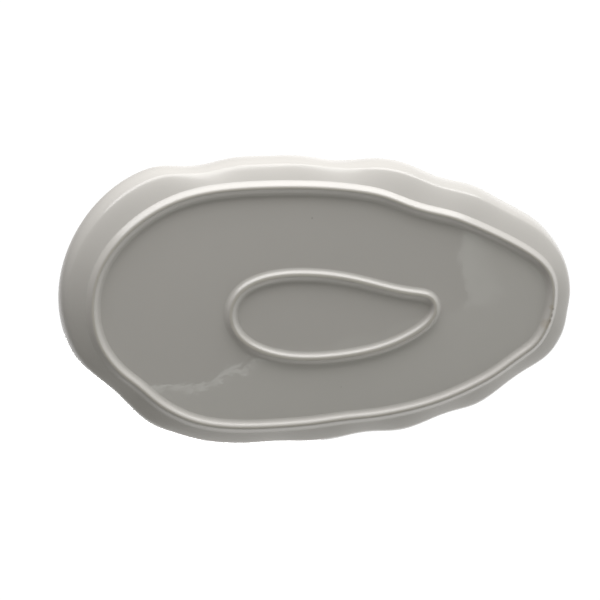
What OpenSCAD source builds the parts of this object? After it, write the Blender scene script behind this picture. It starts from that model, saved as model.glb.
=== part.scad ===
// Serving plate for fish, in glazed white porcelain: a long wavy-edged dish on two foot rings.
// Units are mm. +X points to the narrow tail end, +Z is up, and the origin is on the table
// under the middle of the plate.

/* [Plate] */
// Length over the rim, from the head end to the tail end
plate_length = 350; // [300:1:420]
// Width over the rim
plate_width = 195; // [165:1:240]
// Height from the table to the top of the rim
plate_height = 27; // [22:0.5:40]

/* [Clay] */
// Thickness of the wall, which is also the width of the rounded lip
wall_thickness = 4.5; // [3.5:0.1:6.5]
// Thickness of the floor of the well
floor_thickness = 5; // [3.5:0.1:8]
// How far the inside of the wall sweeps in over the floor before it lies flat
floor_sweep = 12; // [6:0.5:20]
// Depth of the flutes that dent the rim, against the depths in the list below
flute_depth = 1; // [0:0.05:1.4]

/* [Outer foot ring] */
// From the rim in to the crest of the ring at the head and tail
end_inset = 21.5; // [19:0.5:36]
// From the rim in to the crest of the ring at the two long sides
side_inset = 18.7; // [18:0.1:30]
// Middle of the ring, towards the tail
foot_along = 0.8; // [-2:0.1:2]
// Middle of the ring, across the plate
foot_across = 1.3; // [-2:0.1:2]
// Height of the ring, which lifts the floor off the table
foot_height = 2.7; // [2:0.1:5]
// How much higher the wall leaves the ring than the floor does
wall_lift = 0.8; // [0.4:0.1:3]
// Width of the flat along the crest
foot_crest = 1; // [0.8:0.1:3]
// Width of the flank on the side of the floor
foot_inner_flank = 4.4; // [3.5:0.1:7]
// Width of the flank on the side of the wall
foot_outer_flank = 4.2; // [3:0.1:6]

/* [Centre foot ring] */
// Length over the crest
centre_length = 137; // [100:1:180]
// Width over the crest
centre_width = 56; // [46:1:76]
// Middle of the ring, towards the tail
centre_along = 3.3; // [-12:0.1:12]
// Middle of the ring, across the plate
centre_across = 7; // [-8:0.1:8]
// Width of the flat along the crest
centre_crest = 1.5; // [0.8:0.1:2.5]
// Width of each flank
centre_flank = 3.9; // [3.5:0.1:5.5]
// Clear height between the crest and the table
centre_clearance = 0.3; // [0.2:0.1:1]

/* [Hidden] */

// The three outlines, each as the points that pull a smooth closed curve, in shares of the half
// length and half width. Each one starts at the tail and goes round through +Y to the head.
rim_shape = [
    [1.00, 0.00], [0.96, 0.36], [0.77, 0.66], [0.48, 0.90], [0.16, 1.00], [-0.20, 1.01],
    [-0.55, 0.99], [-0.83, 0.69], [-0.99, 0.28], [-1.02, -0.16], [-0.92, -0.62], [-0.69, -0.99],
    [-0.30, -1.01], [0.12, -1.04], [0.47, -0.93], [0.80, -0.66], [0.96, -0.35]
];
foot_shape = [
    [1.02, -0.05], [0.98, 0.33], [0.79, 0.58], [0.50, 0.85], [0.17, 0.95], [-0.22, 1.00],
    [-0.60, 0.99], [-0.84, 0.61], [-1.00, 0.29], [-1.02, -0.18], [-0.92, -0.58], [-0.66, -0.95],
    [-0.31, -1.01], [0.13, -1.00], [0.50, -0.79], [0.83, -0.52], [1.00, -0.31]
];
centre_shape = [
    [1.07, -0.06], [0.93, 0.36], [0.53, 0.82], [0.05, 1.00], [-0.45, 1.02], [-0.88, 0.66],
    [-1.05, 0.00], [-0.94, -0.74], [-0.55, -1.05], [-0.05, -1.00], [0.32, -0.80], [0.60, -0.60],
    [0.83, -0.50], [1.01, -0.46]
];

// Flutes that dent the rim, and waves that draw in the outer foot ring: place in percent of the way
// round from the tail, half span in percent, depth
rim_flutes = [
    [1.5, 3, 1.2], [11, 5, 5], [17.5, 3.5, 3.8], [23.5, 3, 3.5], [29.5, 2.5, 1.5], [36, 2.5, 1],
    [42, 5, 5.5], [67.5, 3, 4.5], [75.5, 3, 3.6], [82, 3.5, 4.6], [86.5, 4.5, 2.6]
];
foot_waves = [[9.5, 4, 1.4], [25, 3, 0.8], [41, 3, 1], [80.5, 3.5, 2.6]];

// Steps of each curve: points between two pulling points, and points along each part of a section
span_steps = 8;
cove_steps = 4;
wall_steps = 7;
lip_steps = 5;
well_steps = 8;
flank_steps = 5;

// Slope of the wall just under the lip, and the round of the lip
lip_slope = 78;
lip_radius = wall_thickness / 2;
lip_centre = plate_height - lip_radius;

// The floor of the well, the height at which the wall leaves the ring, and how far it climbs
well_floor = foot_height + floor_thickness;
root_height = foot_height + wall_lift;
wall_rise = lip_centre - root_height;

// Points that shape the outside of the wall, a cove that ends in a shoulder and a steep part over it:
// the share of the run in from the rim, and the share of the rise
cove_pulls = [[0.80, 0.068], [0.55, 0.155]];
shoulder = [0.37, 0.248];
wall_pull = [0.27, 0.302];
lip_pull = [0.08, 0.42];

// Pulls that bend the inside of the wall, in the same shares
inner_shoulder_pull = [0.06, 0.66];
well_pull = 0.42;

// Pulls that bend the flanks of a foot ring, in shares of the flank's width: how far the crest
// stays level, and how far out the flank eases into the face it meets
crest_pull = 0.26;
floor_ease = 0.54;
wall_ease = 0.34;

// Slope at which the outer foot ring runs into the wall
wall_slope = 27;

// The outlines at their sizes
rim_points = [for (q = rim_shape) [q.x * plate_length, q.y * plate_width] / 2];
foot_points = fitted(
    foot_shape,
    [plate_length - 2 * end_inset, plate_width - 2 * side_inset],
    [foot_along, foot_across]);
centre_points = fitted(
    centre_shape, [centre_length, centre_width], [centre_along, centre_across]);
around = span_steps * len(rim_shape);

// A smooth closed curve pulled by the points p: its place and its direction at t, where t counts
// the points passed
function curve(p, t) =
    let (n = len(p), i = floor(t), f = t - i)
    (p[(i + n - 1) % n] * pow(1 - f, 3)
        + p[i % n] * (3 * pow(f, 3) - 6 * pow(f, 2) + 4)
        + p[(i + 1) % n] * (-3 * pow(f, 3) + 3 * pow(f, 2) + 3 * f + 1)
        + p[(i + 2) % n] * pow(f, 3)) / 6;
function heading(p, t) =
    let (n = len(p), i = floor(t), f = t - i)
    (-p[(i + n - 1) % n] * pow(1 - f, 2)
        + p[i % n] * (3 * pow(f, 2) - 4 * f)
        + p[(i + 1) % n] * (-3 * pow(f, 2) + 2 * f + 1)
        + p[(i + 2) % n] * pow(f, 2)) / 2;

// Outward direction, level with the table
function outward(p, t) = let (d = heading(p, t)) [d.y, -d.x] / norm(d);

// The box round a list of points, and a point moved from one box to another
function box_of(points) =
    let (xs = [for (q = points) q.x], ys = [for (q = points) q.y])
    [[min(xs), min(ys)], [max(xs), max(ys)]];
function moved(q, box, size, middle) = [for (a = [0, 1])
    (q[a] - (box[0][a] + box[1][a]) / 2) * size[a] / (box[1][a] - box[0][a]) + middle[a]];

// A shape stretched until its curve just fills a box of a given size and middle
function fitted(shape, size, middle) =
    let (box = box_of([for (k = [0 : span_steps * len(shape) - 1]) curve(shape, k / span_steps)]))
    [for (q = shape) moved(q, box, size, middle)];

// Depth of a list of dents at t on a curve pulled by n points
function swell(u) = abs(u) < 1 ? pow(1 - u * u, 3) : 0;
function dent(list, t, n) =
    let (place = 100 * t / n)
    sum([for (f = list) f[2] * swell(((place - f[0] + 150) % 100 - 50) / f[1])]);
function sum(list) = list * [for (v = list) 1];

// The edge of the rim, stretched so that its flutes too lie within the length and width
function fluted_rim(t) =
    curve(rim_points, t)
        - outward(rim_points, t) * flute_depth * dent(rim_flutes, t, len(rim_points));
fluted_box = box_of([for (k = [0 : around - 1]) fluted_rim(k / span_steps)]);
function rim_edge(t) = moved(fluted_rim(t), fluted_box, [plate_length, plate_width], [0, 0]);

// A place beside the crest line of each foot ring, mm outward from it
function beside_foot(t, out) =
    curve(foot_points, t)
        + outward(foot_points, t) * (out - dent(foot_waves, t, len(foot_points)));
function beside_centre(t, out) = curve(centre_points, t) + outward(centre_points, t) * out;

// The line where the wall leaves the outer foot ring
function wall_root(t) = beside_foot(t, foot_crest / 2 + foot_outer_flank);

// The section of the wall, from the foot ring out over the lip and in to the floor. Each point is
// the share of the way from the rim to the wall root, then mm further in, then the height.
function bezier(a, b, c, d, f) =
    a * pow(1 - f, 3) + b * 3 * f * pow(1 - f, 2) + c * 3 * f * f * (1 - f) + d * pow(f, 3);
function lip_point(angle) = [
    0, lip_radius * (1 - cos(angle)), lip_centre + lip_radius * sin(angle)
];
function outside(shares) = [shares[0], 0, root_height + shares[1] * wall_rise];
outer_end = lip_point(lip_slope - 90);
inner_end = lip_point(lip_slope + 90);
wall_section = concat(
    [for (k = [0 : cove_steps - 1]) bezier(
        outside([1, 0]),
        outside(cove_pulls[0]),
        outside(cove_pulls[1]),
        outside(shoulder),
        k / cove_steps)],
    [for (k = [0 : wall_steps - 1]) bezier(
        outside(shoulder),
        outside(wall_pull),
        outer_end + [lip_pull[0], 0, -lip_pull[1] * wall_rise],
        outer_end,
        k / wall_steps)],
    [for (k = [0 : lip_steps]) lip_point(lip_slope - 90 + 180 * k / lip_steps)],
    [for (k = [1 : well_steps]) bezier(
        inner_end,
        inner_end + [inner_shoulder_pull[0], 0, -inner_shoulder_pull[1] * (inner_end.z - well_floor)],
        [well_pull, wall_thickness, well_floor],
        [1, floor_sweep, well_floor],
        k / well_steps)]
);
function wall_point(t, s) =
    let (
        edge = rim_edge(t),
        run = wall_root(t) - edge,
        place = edge + run * s[0] + run / norm(run) * s[1]
    )
    [place.x, place.y, s[2]];

// One flank of a foot ring, from the edge of its crest to its root, as mm out and mm up
function flank(width, rise, ease, slope) = [
    for (k = [0 : flank_steps]) bezier(
        [0, 0],
        [crest_pull * width, 0],
        [(1 - ease) * width, rise - ease * width * tan(slope)],
        [width, rise],
        k / flank_steps)
];

// The section of a foot ring, from its inner root down over the crest, up to its outer root and back
// along the clay that it sits on. Each point is mm outward from the crest line, then the height.
function ring_section(inner, outer, crest, low) = concat(
    [for (k = [flank_steps : -1 : 0]) [-crest / 2 - inner[k].x, low + inner[k].y]],
    [for (k = [0 : flank_steps]) [crest / 2 + outer[k].x, low + outer[k].y]],
    [[0, foot_height]]
);
foot_section = ring_section(
    flank(foot_inner_flank, foot_height, floor_ease, 0),
    flank(foot_outer_flank, root_height, wall_ease, wall_slope),
    foot_crest, 0);
centre_side = flank(centre_flank, foot_height - centre_clearance, floor_ease, 0);
centre_section = ring_section(centre_side, centre_side, centre_crest, centre_clearance);

// Triangles between two loops of n points each, loops k and m of a stack
function band(k, m, n) = [
    for (i = [0 : n - 1], half = [0, 1])
        let (j = (i + 1) % n)
        half == 0 ? [k * n + i, m * n + i, m * n + j] : [k * n + i, m * n + j, k * n + j]
];

// A closed ring made of loops of n points each, one after the other round its section
module swept_ring(points, loops, n) {
    polyhedron(
        points = points,
        faces = [for (k = [0 : loops - 1]) each band(k, (k + 1) % loops, n)],
        convexity = 6
    );
}

// The dish: floor, wall and lip in one casting, from a first loop over the crest of the outer ring
module dish() {
    loops = len(wall_section) + 1;
    seat = [for (i = [0 : around - 1])
        let (place = beside_foot(i / span_steps, 0)) [place.x, place.y, foot_height]];
    color("whitesmoke")
        polyhedron(
            points = concat(
                seat,
                [for (s = wall_section, i = [0 : around - 1]) wall_point(i / span_steps, s)]
            ),
            faces = concat(
                [[for (i = [0 : around - 1]) i]],
                [for (k = [0 : loops - 2]) each band(k, k + 1, around)],
                [[for (i = [around - 1 : -1 : 0]) (loops - 1) * around + i]]
            ),
            convexity = 6
        );
}

// The ring that the plate stands on
module outer_foot_ring() {
    color("gainsboro")
        swept_ring(
            [for (s = foot_section, i = [0 : around - 1])
                let (place = beside_foot(i / span_steps, s.x)) [place.x, place.y, s.y]],
            len(foot_section), around);
}

// The drop-shaped ring that keeps the middle of the floor from sagging in the kiln
module centre_foot_ring() {
    n = span_steps * len(centre_points);
    color("gainsboro")
        swept_ring(
            [for (s = centre_section, i = [0 : n - 1])
                let (place = beside_centre(i / span_steps, s.x)) [place.x, place.y, s.y]],
            len(centre_section), n);
}

dish();
outer_foot_ring();
centre_foot_ring();
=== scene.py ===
import math

import bmesh
import bpy
from mathutils import Matrix, Vector


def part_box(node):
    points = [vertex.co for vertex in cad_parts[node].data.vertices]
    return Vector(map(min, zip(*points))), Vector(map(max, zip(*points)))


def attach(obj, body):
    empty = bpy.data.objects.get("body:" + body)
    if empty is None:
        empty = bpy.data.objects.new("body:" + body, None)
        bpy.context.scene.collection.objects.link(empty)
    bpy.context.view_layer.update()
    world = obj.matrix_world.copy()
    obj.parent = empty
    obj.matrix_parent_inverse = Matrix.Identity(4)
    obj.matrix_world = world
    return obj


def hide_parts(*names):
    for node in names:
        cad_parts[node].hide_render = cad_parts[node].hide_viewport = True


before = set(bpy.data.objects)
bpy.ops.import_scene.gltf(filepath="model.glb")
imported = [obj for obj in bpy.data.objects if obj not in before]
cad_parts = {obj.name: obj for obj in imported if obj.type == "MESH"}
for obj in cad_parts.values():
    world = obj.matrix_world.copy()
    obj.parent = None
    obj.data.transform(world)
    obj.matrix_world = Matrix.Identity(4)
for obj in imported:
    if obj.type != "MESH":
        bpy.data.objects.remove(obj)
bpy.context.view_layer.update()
scene = bpy.context.scene

# Sizes are given in mm and used in metres
MM = 0.001

# Height that the CAD plate gives: where the wall leaves the outer foot ring
WALL_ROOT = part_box("outer_foot_ring")[1].z


# Colours and nodes

def linear(hex_colour):
    """The linear colour of an sRGB hex value."""
    parts = [int(hex_colour[i:i + 2], 16) / 255 for i in (1, 3, 5)]
    return [c / 12.92 if c <= 0.04045 else ((c + 0.055) / 1.055) ** 2.4 for c in parts] + [1.0]


def glow(hex_colour, strength):
    """A linear colour at a strength, as a vector."""
    return [c * strength for c in linear(hex_colour)[:3]]


def add_node(tree, kind, settings=None, links=None):
    """Adds a node, gives it its settings and socket values, and links outputs to its inputs."""
    node = tree.nodes.new(kind)
    for name, value in (settings or {}).items():
        if isinstance(name, int) or name in node.inputs:
            node.inputs[name].default_value = value
        else:
            setattr(node, name, value)
    for name, source in (links or {}).items():
        tree.links.new(source, node.inputs[name])
    return node


def reckon(tree, operation, *values):
    """The outcome of a Math node. Each value is a number or the output of another node."""
    node = add_node(tree, "ShaderNodeMath", {"operation": operation})
    for slot, value in enumerate(values):
        if isinstance(value, (int, float)):
            node.inputs[slot].default_value = value
        else:
            tree.links.new(value, node.inputs[slot])
    return node.outputs[0]


def carry(tree, value, span, ends=(0.0, 1.0), curve="LINEAR"):
    """A value carried over from a span to two ends, and held there."""
    return add_node(
        tree, "ShaderNodeMapRange",
        {"From Min": span[0], "From Max": span[1], "To Min": ends[0], "To Max": ends[1],
         "interpolation_type": curve},
        {"Value": value}).outputs[0]


def cloudy(tree, place, size, layers):
    """A cloudy pattern from 0 to 1: the size of its patches, and how many finer layers lie on them."""
    return add_node(
        tree, "ShaderNodeTexNoise", {"Scale": 1 / size, "Detail": layers}, {"Vector": place}).outputs["Fac"]


def axis(tree, vector, name):
    """One axis of a vector."""
    return add_node(tree, "ShaderNodeSeparateXYZ", {}, {"Vector": vector}).outputs[name]


def lay_over(tree, share, under, over):
    """A fixed colour laid over another colour by a share."""
    return add_node(
        tree, "ShaderNodeMix", {"data_type": "RGBA", 7: over}, {0: share, 6: under}).outputs[2]


# Camera
# It is under the plate and looks up at the foot rings, a little from the head end and one side.

LENS = 66
VIEW_DISTANCE = 715 * MM
NEAREST_VIEW = 10 * MM
TILT_TO_HEAD = math.radians(10)
TILT_TO_SIDE = math.radians(10)
ROLL = math.radians(0.6)
AIM = Vector((-20.1, -4.8, 0)) * MM


def add_camera():
    back = Vector((-math.tan(TILT_TO_HEAD), -math.tan(TILT_TO_SIDE), -1)).normalized()
    level_up = Vector((0, -1, 0))
    level_up = (level_up - back * level_up.dot(back)).normalized()
    level_right = level_up.cross(back)
    right = level_right * math.cos(ROLL) + level_up * math.sin(ROLL)
    up = level_up * math.cos(ROLL) - level_right * math.sin(ROLL)
    lens = bpy.data.cameras.new("underside_camera")
    lens.lens = LENS
    lens.clip_start = NEAREST_VIEW
    camera = bpy.data.objects.new("underside_camera", lens)
    turn = Matrix((right, up, back)).transposed().to_4x4()
    camera.matrix_world = Matrix.Translation(AIM + back * VIEW_DISTANCE) @ turn
    scene.collection.objects.link(camera)
    scene.camera = camera


# Shaping the clay

# How near two heights and two points count as the same, and the digits that a height is rounded to
SAME_HEIGHT = 0.01 * MM
SAME_POINT = 0.002 * MM
HEIGHT_DIGITS = 6

# How far up or down a face looks if it counts as level, and how far up if it is a ring's top
LEVEL_FACE = 0.9999
RING_TOP = 0.5

# Loops that carry a flat in from its edge: a narrow border, then shares of what is left
FLAT_BORDER = 1.5 * MM
FLAT_LOOPS = (0.75, 0.67, 0.5)

# How far two triangles may bend and skew and still be joined
PAIR_BEND = math.radians(60)
PAIR_SKEW = math.radians(90)

# Rounds of smoothing, and the angle from which an edge stays crisp
SMOOTHING = 2
CRISP_ANGLE = math.radians(50)


def pick_faces(piece, test):
    """In edit mode, selects only the faces of a piece that pass a test."""
    bpy.ops.mesh.select_mode(type="FACE")
    bpy.ops.mesh.select_all(action="DESELECT")
    skin = bmesh.from_edit_mesh(piece.data)
    for face in skin.faces:
        face.select_set(test(face))
    bmesh.update_edit_mesh(piece.data)


def lies_at(height):
    """A test for faces that lie level at a height."""
    return lambda face: all(abs(v.co.z - height) < SAME_HEIGHT for v in face.verts)


def flat_heights(node_name):
    """The heights of a CAD node's level faces, from low to high."""
    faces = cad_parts[node_name].data.polygons
    return sorted({round(f.center.z, HEIGHT_DIGITS) for f in faces if abs(f.normal.z) > LEVEL_FACE})


def start_from_node(node_name):
    """Starts a piece from a copy of a CAD node, merged into one skin, and goes into edit mode."""
    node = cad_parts[node_name]
    piece = node.copy()
    piece.data = node.data.copy()
    piece.name = "porcelain_" + node_name
    piece.data.name = piece.name
    piece.data.materials.clear()
    scene.collection.objects.link(piece)
    bpy.ops.object.select_all(action="DESELECT")
    piece.select_set(True)
    bpy.context.view_layer.objects.active = piece
    bpy.ops.object.mode_set(mode="EDIT")
    bpy.ops.mesh.select_all(action="SELECT")
    bpy.ops.mesh.remove_doubles(threshold=SAME_POINT)
    return piece


def fill_flat(piece, height):
    """Turns the triangles over a flat into loops of quads that shrink to its middle."""
    pick_faces(piece, lies_at(height))
    bpy.ops.mesh.dissolve_faces()
    bpy.ops.mesh.inset(thickness=FLAT_BORDER)
    for share in FLAT_LOOPS:
        bpy.ops.mesh.extrude_region()
        bpy.ops.transform.resize(value=(share, share, 1), center_override=(0, 0, height))


def pair_triangles(piece):
    """Joins the triangles in pairs, into quads that follow the plate round."""
    pick_faces(piece, lambda face: len(face.verts) == 3)
    bpy.ops.mesh.tris_convert_to_quads(face_threshold=PAIR_BEND, shape_threshold=PAIR_SKEW)


def keep_joint_crisp(piece, hidden):
    """Keeps the line round the faces that dish and ring hide, so that smoothing opens no gap."""
    pick_faces(piece, hidden)
    bpy.ops.mesh.region_to_loop()
    bpy.ops.transform.edge_crease(value=1.0)
    bpy.ops.mesh.mark_sharp()


def smooth_skin(piece):
    """Leaves edit mode and rounds the skin, as glaze rounds the clay under it."""
    bpy.ops.object.mode_set(mode="OBJECT")
    rounding = piece.modifiers.new("glaze_rounding", "SUBSURF")
    rounding.levels = SMOOTHING
    rounding.render_levels = SMOOTHING
    bpy.ops.object.modifier_apply(modifier=rounding.name)
    bpy.ops.object.shade_smooth_by_angle(angle=CRISP_ANGLE, keep_sharp_edges=True)


def make_dish():
    dish = start_from_node("dish")
    heights = flat_heights("dish")
    for height in (heights[0], heights[-1]):
        fill_flat(dish, height)
    pair_triangles(dish)
    keep_joint_crisp(dish, lambda face: all(v.co.z < WALL_ROOT + SAME_HEIGHT for v in face.verts))
    smooth_skin(dish)
    return dish


def make_foot_ring(node_name):
    ring = start_from_node(node_name)
    pair_triangles(ring)
    keep_joint_crisp(ring, lambda face: face.normal.z > RING_TOP)
    smooth_skin(ring)
    return ring


# Glazed porcelain
# White slip-cast clay, dipped in clear glaze and fired. The eye gets a faintly warm, milky white under
# a clear gloss. The gloss ripples a little where the glaze ran, the white is clouded where the glaze is
# thicker, and a few specks of iron and kiln dust show through.

GLAZE_WHITE = "#ebe7e2"
GLAZE_CLOUD = "#e6e3de"
GLAZE_IOR = 1.5

# Roughness, lowest and highest, and the part of the smear pattern in which it goes from one to the other
GLAZE_GLOSS = (0.20, 0.25)
SMEAR_SPAN = (0.35, 0.65)

# The glaze is smoothest where it pools: how level the clay is there, and its share of the roughness
POOLED_LEVEL = (0.990, 0.999)
POOLED_SHARE = 0.07

# Its patterns: the size of a patch, and how many finer layers lie on it. Real glaze dimples are about
# 1 mm, and are drawn coarser here so that they show.
CLOUDS = (70 * MM, 3)
SMEARS = (45 * MM, 4)
RIPPLES = (34 * MM, 1)
RIPPLE_DEPTH = 0.12 * MM
DIMPLES = (6 * MM, 2)
DIMPLE_DEPTH = 0.018 * MM

# Iron specks: how far apart they lie in the clay, their radius, colour and strength
SPECK_SPACING = 24 * MM
SPECK_RADIUS = 0.45 * MM
SPECK_BROWN = "#8b7d69"
SPECK_STRENGTH = 0.35

# Marks from the kiln: place and radius in mm, colour, and how strongly it shows
KILN_MARKS = [
    ((-12.2, -57.8, 2.2), 1.1, "#8a8478", 0.35),
    ((-107.6, 60.2, 1.2), 1.3, "#76664e", 0.7),
    ((154.8, 5.0, 0.2), 1.3, "#5d4f36", 0.45),
    ((153.6, 3.6, 0.6), 2.6, "#b39b6a", 0.22),
    ((154.4, 9.5, 0.2), 2.2, "#6b5a3e", 0.4),
    ((153.2, 13.2, 0.2), 2.2, "#6b5a3e", 0.4),
    ((150.4, 15.4, 1.0), 5.0, "#b8a275", 0.22),
]

# Share of the radius in which a speck and a mark are at full strength
SPECK_CORE = 0.4
MARK_CORE = 0.3

# Bare biscuit on the crests, where the foot is wiped clean of glaze before firing. The eye gets a dry,
# matt, slightly darker band with an uneven edge.
BISCUIT_WHITE = "#e6e1d8"
BISCUIT_ROUGHNESS = 0.62
WIPED_HEIGHT = 0.10 * MM
WIPED_EDGE = 0.08 * MM
WIPE_WANDER = 0.06 * MM
WANDERS = (9 * MM, 2)


def fired_porcelain(name, crest=None):
    """Glazed porcelain, wiped bare on a crest at a height where there is one."""
    material = bpy.data.materials.new(name)
    material.use_nodes = True
    tree = material.node_tree
    tree.nodes.clear()
    place = add_node(tree, "ShaderNodeTexCoord").outputs["Object"]

    colour = add_node(
        tree, "ShaderNodeMix",
        {"data_type": "RGBA", 6: linear(GLAZE_WHITE), 7: linear(GLAZE_CLOUD)},
        {0: cloudy(tree, place, *CLOUDS)}).outputs[2]

    gloss = carry(tree, cloudy(tree, place, *SMEARS), SMEAR_SPAN, GLAZE_GLOSS)
    facing = add_node(tree, "ShaderNodeNewGeometry").outputs["Normal"]
    level = reckon(tree, "ABSOLUTE", axis(tree, facing, "Z"))
    gloss = reckon(tree, "MULTIPLY", gloss, carry(tree, level, POOLED_LEVEL, (1.0, POOLED_SHARE)))

    if crest is not None:
        wander = cloudy(tree, place, *WANDERS)
        height = reckon(tree, "MULTIPLY_ADD", wander, WIPE_WANDER, axis(tree, place, "Z"))
        wiped_to = crest + WIPED_HEIGHT
        bare = carry(tree, height, (wiped_to, wiped_to + WIPED_EDGE), (1.0, 0.0))
        colour = lay_over(tree, bare, colour, linear(BISCUIT_WHITE))
        gloss = add_node(
            tree, "ShaderNodeMix", {"data_type": "FLOAT", 3: BISCUIT_ROUGHNESS},
            {0: bare, 2: gloss}).outputs[0]

    specks = add_node(
        tree, "ShaderNodeTexVoronoi", {"Scale": 1 / SPECK_SPACING}, {"Vector": place})
    edge = SPECK_RADIUS / SPECK_SPACING
    speck = carry(tree, specks.outputs["Distance"], (SPECK_CORE * edge, edge), (SPECK_STRENGTH, 0.0))
    colour = lay_over(tree, speck, colour, linear(SPECK_BROWN))

    for spot, radius, stain, strength in KILN_MARKS:
        away = add_node(
            tree, "ShaderNodeVectorMath", {"operation": "DISTANCE", 1: [v * MM for v in spot]},
            {0: place}).outputs["Value"]
        edge = radius * MM
        mark = carry(tree, away, (MARK_CORE * edge, edge), (strength, 0.0), "SMOOTHSTEP")
        colour = lay_over(tree, mark, colour, linear(stain))

    rippled = add_node(
        tree, "ShaderNodeBump", {"Distance": RIPPLE_DEPTH}, {"Height": cloudy(tree, place, *RIPPLES)})
    dimpled = add_node(
        tree, "ShaderNodeBump", {"Distance": DIMPLE_DEPTH},
        {"Height": cloudy(tree, place, *DIMPLES), "Normal": rippled.outputs["Normal"]})

    skin = add_node(
        tree, "ShaderNodeBsdfPrincipled", {"IOR": GLAZE_IOR},
        {"Base Color": colour, "Roughness": gloss, "Normal": dimpled.outputs["Normal"]})
    add_node(tree, "ShaderNodeOutputMaterial", {}, {"Surface": skin.outputs["BSDF"]})
    return material


# Studio
# A light tent: white over the plate, most of it towards the tail and the side that is down in the picture,
# and softer light from three sides. Under the plate is a pale card with a bright, ragged rim, which the
# glaze mirrors. A long window lights the side that is up in the picture. It reaches from under the floor
# to above it, so its light is kept off the floor. A soft box hangs over the well, and the backdrop is
# plain white.

BACKDROP_WHITE = 1.05
TENT_WHITE = 1.0

# The way to the white of the tent, and from where to where it grows
TENT_TOP = (0.6, 0.85, 1)
TENT_EDGE = (0.3, 0.8)

# Light from all round, then light from the sides: the way to it, how narrow it is, colour and strength
UNDER_GLOW = ("#fff4e4", 0.032)
SIDE_GLOWS = [
    ((0, -1, 0.2), 2, "#fffefb", 0.21),
    ((0.1, 1, -0.3), 2, "#fffefa", 0.22),
    ((1, -0.2, 0), 3, "#fcfefc", 0.54),
]

# The card and its rim, each with colour and strength, and how far down they start and are full
CARD_GLOW = ("#f4fbf1", 0.45)
CARD_RIM_GLOW = ("#fbfdf9", 1.0)
CARD_TOP = (-0.80, -0.88)

# Edges of the card: the way across it, where it starts, where its bright rim ends, how bright that is,
# how far along X it reaches, and how ragged it is. A rim shows only where the other edge leaves it in
# the open.
CARD_EDGES = [
    ((1, 0, 0), (0.311, 0.315), (0.352, 0.325), 0.65, (0.40, 0.36), 0.03),
    ((0.276, 1, 0), (0.262, 0.264), (0.270, 0.267), 1.5, (0.17, 0.12), 0.006),
]

# The pattern of the ragged edges: the size of a patch, and how many finer layers lie on it
RAGS = (0.025, 2)

WINDOW_SIZE = (1.95, 0.45)
WINDOW_PLACE = Vector((-0.1, -0.9, -0.15))
WINDOW_AIM = Vector((-0.05, 0, 0))
WINDOW_POWER = 12.3
SOFT_BOX_SIZE = (0.5, 0.3)
SOFT_BOX_PLACE = Vector((-0.1, 0.35, 0.7))
SOFT_BOX_AIM = Vector((0, 0, 0))
SOFT_BOX_POWER = 2.5


def toward(tree, ray, side):
    """How far a ray goes the way to a side."""
    return add_node(
        tree, "ShaderNodeVectorMath", {"operation": "DOT_PRODUCT", 1: side}, {0: ray}).outputs["Value"]


def add_glow(tree, light, share, tint, strength):
    """The light so far, with a tinted glow added by a share."""
    return add_node(
        tree, "ShaderNodeVectorMath", {"operation": "MULTIPLY_ADD", 1: glow(tint, strength)},
        {0: share, 2: light}).outputs["Vector"]


def cut_card(tree, ray):
    """The shares of the card and of its bright rim in what a ray meets."""
    torn = cloudy(tree, ray, *RAGS)
    insides = []
    strips = []
    for side, edge, inner, strength, reach, ragged in CARD_EDGES:
        wobble = carry(tree, torn, (0.0, 1.0), (-ragged, ragged))
        across = reckon(tree, "ADD", toward(tree, ray, side), wobble)
        inside = carry(tree, across, edge)
        strip = reckon(tree, "MULTIPLY", inside, carry(tree, across, inner, (0.0, strength)))
        insides.append(inside)
        strips.append(reckon(tree, "MULTIPLY", strip, carry(tree, axis(tree, ray, "X"), reach)))
    rims = []
    for strip, other_inside in zip(strips, reversed(insides)):
        in_the_open = reckon(tree, "SUBTRACT", 1.0, other_inside)
        rims.append(reckon(tree, "MULTIPLY", strip, in_the_open))
    under = carry(tree, axis(tree, ray, "Z"), CARD_TOP)
    card = reckon(tree, "MULTIPLY", reckon(tree, "MAXIMUM", *insides), under)
    rim = reckon(tree, "MULTIPLY", reckon(tree, "MAXIMUM", *rims), under)
    return card, rim


def light_the_tent():
    world = bpy.data.worlds.new("light_tent")
    scene.world = world
    world.use_nodes = True
    tree = world.node_tree
    tree.nodes.clear()
    ray = add_node(tree, "ShaderNodeTexCoord").outputs["Generated"]

    light = add_node(tree, "ShaderNodeCombineXYZ", dict(zip("XYZ", glow(*UNDER_GLOW)))).outputs["Vector"]
    for side, narrowness, tint, strength in SIDE_GLOWS:
        facing = reckon(tree, "MAXIMUM", toward(tree, ray, side), 0.0)
        light = add_glow(tree, light, reckon(tree, "POWER", facing, narrowness), tint, strength)
    card, rim = cut_card(tree, ray)
    light = add_glow(tree, light, card, *CARD_GLOW)
    light = add_glow(tree, light, rim, *CARD_RIM_GLOW)

    white = carry(tree, toward(tree, ray, TENT_TOP), TENT_EDGE, curve="SMOOTHSTEP")
    seen = add_node(tree, "ShaderNodeLightPath").outputs["Is Camera Ray"]
    for share, shade in ((white, TENT_WHITE), (seen, BACKDROP_WHITE)):
        light = lay_over(tree, share, light, (shade, shade, shade, 1))
    sky = add_node(tree, "ShaderNodeBackground", {}, {"Color": light})
    add_node(tree, "ShaderNodeOutputWorld", {}, {"Surface": sky.outputs["Background"]})


def hang_light(name, size, place, aim, power):
    """A rectangle of even light at a place, turned to face another."""
    pane = bpy.data.lights.new(name, "AREA")
    pane.shape = "RECTANGLE"
    pane.size = size[0]
    pane.size_y = size[1]
    pane.energy = power
    lamp = bpy.data.objects.new(name, pane)
    lamp.location = place
    lamp.rotation_euler = (aim - place).to_track_quat("-Z", "Z").to_euler()
    lamp.visible_camera = False
    scene.collection.objects.link(lamp)
    return lamp


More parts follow.
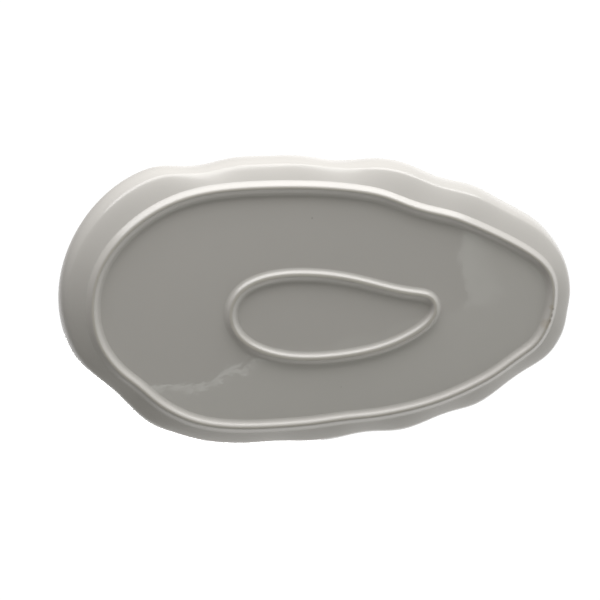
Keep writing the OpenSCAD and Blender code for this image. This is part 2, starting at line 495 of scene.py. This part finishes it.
def keep_light_off(lamp, piece):
    """Lets a light fall on all but one piece."""
    spared = bpy.data.collections.new("spared_by_" + lamp.name)
    spared.objects.link(piece)
    spared.collection_objects[0].light_linking.link_state = "EXCLUDE"
    lamp.light_linking.receiver_collection = spared


# Floor
# A painted board under the plate, smooth and pale. It shows from above only, so that the plate can also
# be seen from below.

FLOOR_SIZE = 40
FLOOR_PAINT = "#dcdad6"


def lay_floor():
    bpy.ops.object.select_all(action="DESELECT")
    bpy.ops.mesh.primitive_plane_add(size=FLOOR_SIZE, location=(0, 0, 0))
    floor = bpy.context.object
    floor.name = "floor"
    paint = bpy.data.materials.new("pale_painted_board")
    paint.use_nodes = True
    tree = paint.node_tree
    tree.nodes.clear()
    side = add_node(tree, "ShaderNodeNewGeometry")
    top = add_node(tree, "ShaderNodeBsdfDiffuse", {"Color": linear(FLOOR_PAINT)})
    clear = add_node(tree, "ShaderNodeBsdfTransparent")
    board = add_node(
        tree, "ShaderNodeMixShader", {},
        {0: side.outputs["Backfacing"], 1: top.outputs["BSDF"], 2: clear.outputs["BSDF"]})
    add_node(tree, "ShaderNodeOutputMaterial", {}, {"Surface": board.outputs["Shader"]})
    floor.data.materials.append(paint)
    floor.visible_shadow = False
    floor.visible_diffuse = False
    floor.visible_glossy = False
    return floor


# The scene

scene.view_settings.view_transform = "Standard"
add_camera()
light_the_tent()
window = hang_light("window", WINDOW_SIZE, WINDOW_PLACE, WINDOW_AIM, WINDOW_POWER)
hang_light("soft_box", SOFT_BOX_SIZE, SOFT_BOX_PLACE, SOFT_BOX_AIM, SOFT_BOX_POWER)
floor = lay_floor()
keep_light_off(window, floor)

dish = make_dish()
outer_ring = make_foot_ring("outer_foot_ring")
centre_ring = make_foot_ring("centre_foot_ring")

dish.data.materials.append(fired_porcelain("glazed_porcelain"))
outer_ring.data.materials.append(
    fired_porcelain("glazed_porcelain_outer_foot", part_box("outer_foot_ring")[0].z))
centre_ring.data.materials.append(
    fired_porcelain("glazed_porcelain_centre_foot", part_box("centre_foot_ring")[0].z))

for piece, node_name, slot_name in (
    (dish, "dish", "porcelain_glaze"),
    (outer_ring, "outer_foot_ring", "outer_foot_glaze"),
    (centre_ring, "centre_foot_ring", "centre_foot_glaze"),
):
    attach(piece, "root")
    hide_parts(node_name)
